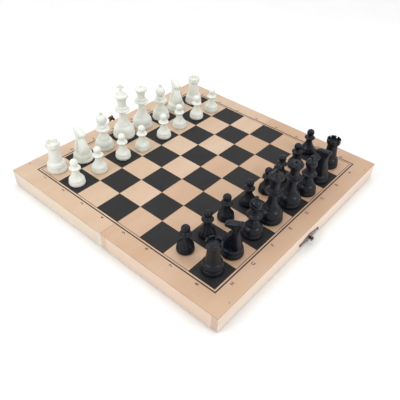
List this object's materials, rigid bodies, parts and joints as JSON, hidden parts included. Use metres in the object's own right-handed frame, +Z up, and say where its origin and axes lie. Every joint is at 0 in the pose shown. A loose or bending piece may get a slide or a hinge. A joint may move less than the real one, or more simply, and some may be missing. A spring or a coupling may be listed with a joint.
{
  "type": "folding chess set",
  "caption": "Folding wooden chess case opened flat as a board, with a hook catch at one end and a full set of plastic pieces set up on it, each of which lifts off.",
  "frame": {"origin": "middle of the open board, under the fold, in the plane that its lowest points touch", "axes": "+Z up out of the playing surface; +X to the h-file side, along the fold; +Y to the black player's end"},
  "size_m": [0.29, 0.301, 0.087],
  "materials": {
    "panel_plywood": "satin lacquer, printed",
    "rail_pine": "satin lacquer",
    "ivory_plastic": "satin moulded",
    "black_plastic": "satin moulded",
    "hinge_brass": "plated",
    "catch_brass": "antique plated",
    "antique_plate": "antique plated, worn",
    "nail_steel": "plain"
  },
  "bodies": {
    "white_half": {"white_panel": "panel_plywood", "white_end_rail": "rail_pine", "white_fold_rail": "rail_pine", "white_side_rail_a": "rail_pine", "white_side_rail_h": "rail_pine", "white_hinge_leaves": "hinge_brass", "hinge_pins": "hinge_brass", "white_hinge_screws": "hinge_brass", "white_panel_brads": "nail_steel", "hook_plate": "antique_plate", "hook_plate_nails": "catch_brass", "hook_rivet": "catch_brass"},
    "black_half": {"black_panel": "panel_plywood", "black_end_rail": "rail_pine", "black_fold_rail": "rail_pine", "black_side_rail_a": "rail_pine", "black_side_rail_h": "rail_pine", "black_hinge_leaves": "hinge_brass", "black_hinge_screws": "hinge_brass", "black_panel_brads": "nail_steel", "peg_plate": "antique_plate", "peg_plate_nails": "catch_brass", "catch_peg": "catch_brass"},
    "hook": {"catch_hook": "catch_brass"},
    "white_rook_a": {"white_rook_a": "ivory_plastic"},
    "white_knight_b": {"white_knight_b": "ivory_plastic"},
    "white_bishop_c": {"white_bishop_c": "ivory_plastic"},
    "white_queen_d": {"white_queen_d": "ivory_plastic"},
    "white_king_e": {"white_king_e": "ivory_plastic"},
    "white_bishop_f": {"white_bishop_f": "ivory_plastic"},
    "white_knight_g": {"white_knight_g": "ivory_plastic"},
    "white_rook_h": {"white_rook_h": "ivory_plastic"},
    "white_pawn_a": {"white_pawn_a": "ivory_plastic"},
    "white_pawn_b": {"white_pawn_b": "ivory_plastic"},
    "white_pawn_c": {"white_pawn_c": "ivory_plastic"},
    "white_pawn_d": {"white_pawn_d": "ivory_plastic"},
    "white_pawn_e": {"white_pawn_e": "ivory_plastic"},
    "white_pawn_f": {"white_pawn_f": "ivory_plastic"},
    "white_pawn_g": {"white_pawn_g": "ivory_plastic"},
    "white_pawn_h": {"white_pawn_h": "ivory_plastic"},
    "black_rook_a": {"black_rook_a": "black_plastic"},
    "black_knight_b": {"black_knight_b": "black_plastic"},
    "black_bishop_c": {"black_bishop_c": "black_plastic"},
    "black_queen_d": {"black_queen_d": "black_plastic"},
    "black_king_e": {"black_king_e": "black_plastic"},
    "black_bishop_f": {"black_bishop_f": "black_plastic"},
    "black_knight_g": {"black_knight_g": "black_plastic"},
    "black_rook_h": {"black_rook_h": "black_plastic"},
    "black_pawn_a": {"black_pawn_a": "black_plastic"},
    "black_pawn_b": {"black_pawn_b": "black_plastic"},
    "black_pawn_c": {"black_pawn_c": "black_plastic"},
    "black_pawn_d": {"black_pawn_d": "black_plastic"},
    "black_pawn_e": {"black_pawn_e": "black_plastic"},
    "black_pawn_f": {"black_pawn_f": "black_plastic"},
    "black_pawn_g": {"black_pawn_g": "black_plastic"},
    "black_pawn_h": {"black_pawn_h": "black_plastic"}
  },
  "joints": [
    {"name": "fold", "type": "hinge", "parent": "white_half", "child": "black_half", "pos_m": [0, 0, 0.0012], "axis": [1, 0, 0], "range_deg": [-180, 0]},
    {"name": "hook_swing", "type": "hinge", "parent": "white_half", "child": "hook", "pos_m": [0, -0.1473, 0.0071], "axis": [0, 1, 0], "range_deg": [0, 168]},
    {"name": "white_rook_a_lift", "type": "slide", "parent": "white_half", "child": "white_rook_a", "axis": [0, 0, 1], "range_m": [0, 0.1]},
    {"name": "white_knight_b_lift", "type": "slide", "parent": "white_half", "child": "white_knight_b", "axis": [0, 0, 1], "range_m": [0, 0.1]},
    {"name": "white_bishop_c_lift", "type": "slide", "parent": "white_half", "child": "white_bishop_c", "axis": [0, 0, 1], "range_m": [0, 0.1]},
    {"name": "white_queen_d_lift", "type": "slide", "parent": "white_half", "child": "white_queen_d", "axis": [0, 0, 1], "range_m": [0, 0.1]},
    {"name": "white_king_e_lift", "type": "slide", "parent": "white_half", "child": "white_king_e", "axis": [0, 0, 1], "range_m": [0, 0.1]},
    {"name": "white_bishop_f_lift", "type": "slide", "parent": "white_half", "child": "white_bishop_f", "axis": [0, 0, 1], "range_m": [0, 0.1]},
    {"name": "white_knight_g_lift", "type": "slide", "parent": "white_half", "child": "white_knight_g", "axis": [0, 0, 1], "range_m": [0, 0.1]},
    {"name": "white_rook_h_lift", "type": "slide", "parent": "white_half", "child": "white_rook_h", "axis": [0, 0, 1], "range_m": [0, 0.1]},
    {"name": "white_pawn_a_lift", "type": "slide", "parent": "white_half", "child": "white_pawn_a", "axis": [0, 0, 1], "range_m": [0, 0.1]},
    {"name": "white_pawn_b_lift", "type": "slide", "parent": "white_half", "child": "white_pawn_b", "axis": [0, 0, 1], "range_m": [0, 0.1]},
    {"name": "white_pawn_c_lift", "type": "slide", "parent": "white_half", "child": "white_pawn_c", "axis": [0, 0, 1], "range_m": [0, 0.1]},
    {"name": "white_pawn_d_lift", "type": "slide", "parent": "white_half", "child": "white_pawn_d", "axis": [0, 0, 1], "range_m": [0, 0.1]},
    {"name": "white_pawn_e_lift", "type": "slide", "parent": "white_half", "child": "white_pawn_e", "axis": [0, 0, 1], "range_m": [0, 0.1]},
    {"name": "white_pawn_f_lift", "type": "slide", "parent": "white_half", "child": "white_pawn_f", "axis": [0, 0, 1], "range_m": [0, 0.1]},
    {"name": "white_pawn_g_lift", "type": "slide", "parent": "white_half", "child": "white_pawn_g", "axis": [0, 0, 1], "range_m": [0, 0.1]},
    {"name": "white_pawn_h_lift", "type": "slide", "parent": "white_half", "child": "white_pawn_h", "axis": [0, 0, 1], "range_m": [0, 0.1]},
    {"name": "black_rook_a_lift", "type": "slide", "parent": "black_half", "child": "black_rook_a", "axis": [0, 0, 1], "range_m": [0, 0.1]},
    {"name": "black_knight_b_lift", "type": "slide", "parent": "black_half", "child": "black_knight_b", "axis": [0, 0, 1], "range_m": [0, 0.1]},
    {"name": "black_bishop_c_lift", "type": "slide", "parent": "black_half", "child": "black_bishop_c", "axis": [0, 0, 1], "range_m": [0, 0.1]},
    {"name": "black_queen_d_lift", "type": "slide", "parent": "black_half", "child": "black_queen_d", "axis": [0, 0, 1], "range_m": [0, 0.1]},
    {"name": "black_king_e_lift", "type": "slide", "parent": "black_half", "child": "black_king_e", "axis": [0, 0, 1], "range_m": [0, 0.1]},
    {"name": "black_bishop_f_lift", "type": "slide", "parent": "black_half", "child": "black_bishop_f", "axis": [0, 0, 1], "range_m": [0, 0.1]},
    {"name": "black_knight_g_lift", "type": "slide", "parent": "black_half", "child": "black_knight_g", "axis": [0, 0, 1], "range_m": [0, 0.1]},
    {"name": "black_rook_h_lift", "type": "slide", "parent": "black_half", "child": "black_rook_h", "axis": [0, 0, 1], "range_m": [0, 0.1]},
    {"name": "black_pawn_a_lift", "type": "slide", "parent": "black_half", "child": "black_pawn_a", "axis": [0, 0, 1], "range_m": [0, 0.1]},
    {"name": "black_pawn_b_lift", "type": "slide", "parent": "black_half", "child": "black_pawn_b", "axis": [0, 0, 1], "range_m": [0, 0.1]},
    {"name": "black_pawn_c_lift", "type": "slide", "parent": "black_half", "child": "black_pawn_c", "axis": [0, 0, 1], "range_m": [0, 0.1]},
    {"name": "black_pawn_d_lift", "type": "slide", "parent": "black_half", "child": "black_pawn_d", "axis": [0, 0, 1], "range_m": [0, 0.1]},
    {"name": "black_pawn_e_lift", "type": "slide", "parent": "black_half", "child": "black_pawn_e", "axis": [0, 0, 1], "range_m": [0, 0.1]},
    {"name": "black_pawn_f_lift", "type": "slide", "parent": "black_half", "child": "black_pawn_f", "axis": [0, 0, 1], "range_m": [0, 0.1]},
    {"name": "black_pawn_g_lift", "type": "slide", "parent": "black_half", "child": "black_pawn_g", "axis": [0, 0, 1], "range_m": [0, 0.1]},
    {"name": "black_pawn_h_lift", "type": "slide", "parent": "black_half", "child": "black_pawn_h", "axis": [0, 0, 1], "range_m": [0, 0.1]}
  ]
}
